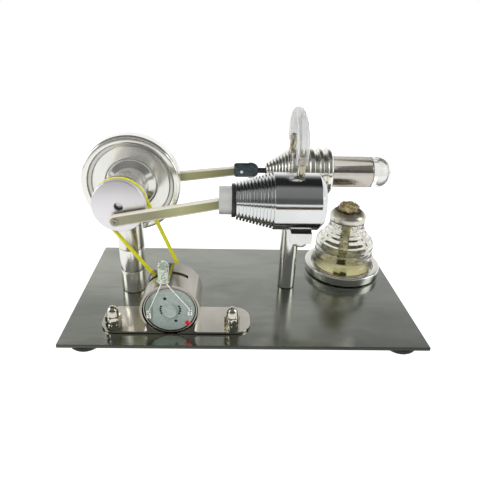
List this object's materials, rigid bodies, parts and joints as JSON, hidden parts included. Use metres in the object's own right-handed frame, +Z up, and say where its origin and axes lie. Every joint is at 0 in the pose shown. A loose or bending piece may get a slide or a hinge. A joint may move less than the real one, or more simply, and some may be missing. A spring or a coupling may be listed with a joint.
{
  "type": "stirling engine model",
  "caption": "Tabletop twin-cylinder hot-air engine with crankshaft, flywheel and belt-driven generator, on a steel plate with an alcohol burner",
  "frame": {"origin": "centre of the bounding box at the bottom of the rubber feet", "axes": "+X along the plate from the flywheel to the burner, +Y from the generator side to the back, +Z up"},
  "size_m": [0.18, 0.1, 0.1102],
  "materials": {
    "plate_steel": "satin polished sheet",
    "foot_rubber": "moulded matte",
    "polished_steel": "polished turned",
    "turned_aluminium": "turned and polished",
    "nickel": "nickel plated",
    "black_steel": "blackened",
    "piston_grey": "matt ground",
    "brass": "turned",
    "clear_glass": "clear",
    "silicone": "translucent",
    "rod_plastic": "frosted translucent",
    "dark_plastic": "moulded",
    "motor_steel": "drawn can",
    "cap_plastic": "moulded",
    "led_clear": "clear epoxy",
    "tinned_wire": "tinned",
    "belt_rubber": "elastic band",
    "fuel": "clear yellowish liquid",
    "collar_metal": "heat stained",
    "wick_cotton": "frayed cotton"
  },
  "bodies": {
    "base": {"base_plate": "plate_steel", "foot_front_left": "foot_rubber", "foot_front_right": "foot_rubber", "foot_back_left": "foot_rubber", "foot_back_right": "foot_rubber", "crank_post_lower": "polished_steel", "crank_post_middle": "polished_steel", "crank_post_upper": "polished_steel", "bearing_housing": "polished_steel", "bearing_front": "polished_steel", "bearing_rear": "polished_steel", "crank_post_bolt": "polished_steel", "cylinder_post": "polished_steel", "cylinder_post_screw": "polished_steel", "crossbar": "polished_steel", "crossbar_screw": "polished_steel", "power_cylinder_screw": "polished_steel", "hot_cylinder_screw": "polished_steel", "power_cylinder": "turned_aluminium", "power_cylinder_liner": "black_steel", "hot_cylinder": "turned_aluminium", "rod_guide_bush": "brass", "glass_tube": "clear_glass", "power_nozzle": "polished_steel", "hot_nozzle": "polished_steel", "air_hose": "silicone", "motor_can": "motor_steel", "motor_end_cap": "cap_plastic", "led_lamp": "led_clear", "led_lead_left": "tinned_wire", "led_lead_right": "tinned_wire", "motor_clamp": "nickel", "clamp_bolt_left": "polished_steel", "clamp_bolt_right": "polished_steel", "hex_nut_left": "nickel", "hex_nut_right": "nickel", "acorn_nut_left": "nickel", "acorn_nut_right": "nickel", "drive_belt": "belt_rubber"},
    "crank": {"crank_shaft": "polished_steel", "front_pulley": "turned_aluminium", "flywheel": "turned_aluminium"},
    "motor_rotor": {"motor_shaft": "polished_steel", "motor_pulley": "brass"},
    "power_piston_body": {"power_piston": "piston_grey", "wrist_pin": "polished_steel"},
    "power_rod_body": {"power_rod": "rod_plastic", "power_crank_pin": "polished_steel"},
    "displacer_body": {"clevis": "dark_plastic", "clevis_pin": "polished_steel", "displacer_rod": "black_steel", "displacer": "polished_steel"},
    "displacer_link_body": {"displacer_link": "rod_plastic", "displacer_crank_pin": "polished_steel"},
    "lamp": {"lamp_dish": "polished_steel", "lamp_glass": "clear_glass", "lamp_fuel": "fuel", "lamp_collar": "collar_metal", "lamp_wick": "wick_cotton"}
  },
  "joints": [
    {"name": "crank_spin", "type": "hinge", "parent": "base", "child": "crank", "pos_m": [-0.0615, 0, 0.0655], "axis": [0, 1, 0], "continuous": true},
    {"name": "motor_spin", "type": "hinge", "parent": "base", "child": "motor_rotor", "pos_m": [-0.0362, 0, 0.0196], "axis": [0, 1, 0], "continuous": true},
    {"name": "power_piston_slide", "type": "slide", "parent": "base", "child": "power_piston_body", "axis": [1, 0, 0], "range_m": [-0.00396, 0.00809]},
    {"name": "power_rod_swing", "type": "hinge", "parent": "power_piston_body", "child": "power_rod_body", "pos_m": [-0.00381, -0.0245, 0.0709], "axis": [0, 1, 0], "range_deg": [-0.13, 11.4]},
    {"name": "displacer_slide", "type": "slide", "parent": "base", "child": "displacer_body", "axis": [1, 0, 0], "range_m": [-0.01176, 0.00029]},
    {"name": "displacer_link_swing", "type": "hinge", "parent": "displacer_body", "child": "displacer_link_body", "pos_m": [-0.00103, 0.0222, 0.0709], "axis": [0, 1, 0], "range_deg": [-5.02, 7.57]},
    {"name": "lamp_slide", "type": "slide", "parent": "base", "child": "lamp", "axis": [0, -1, 0], "range_m": [0, 0.045]}
  ],
  "couplings": [
    {"joint": "motor_spin", "follows": "crank_spin", "ratio": 1.9167}
  ]
}
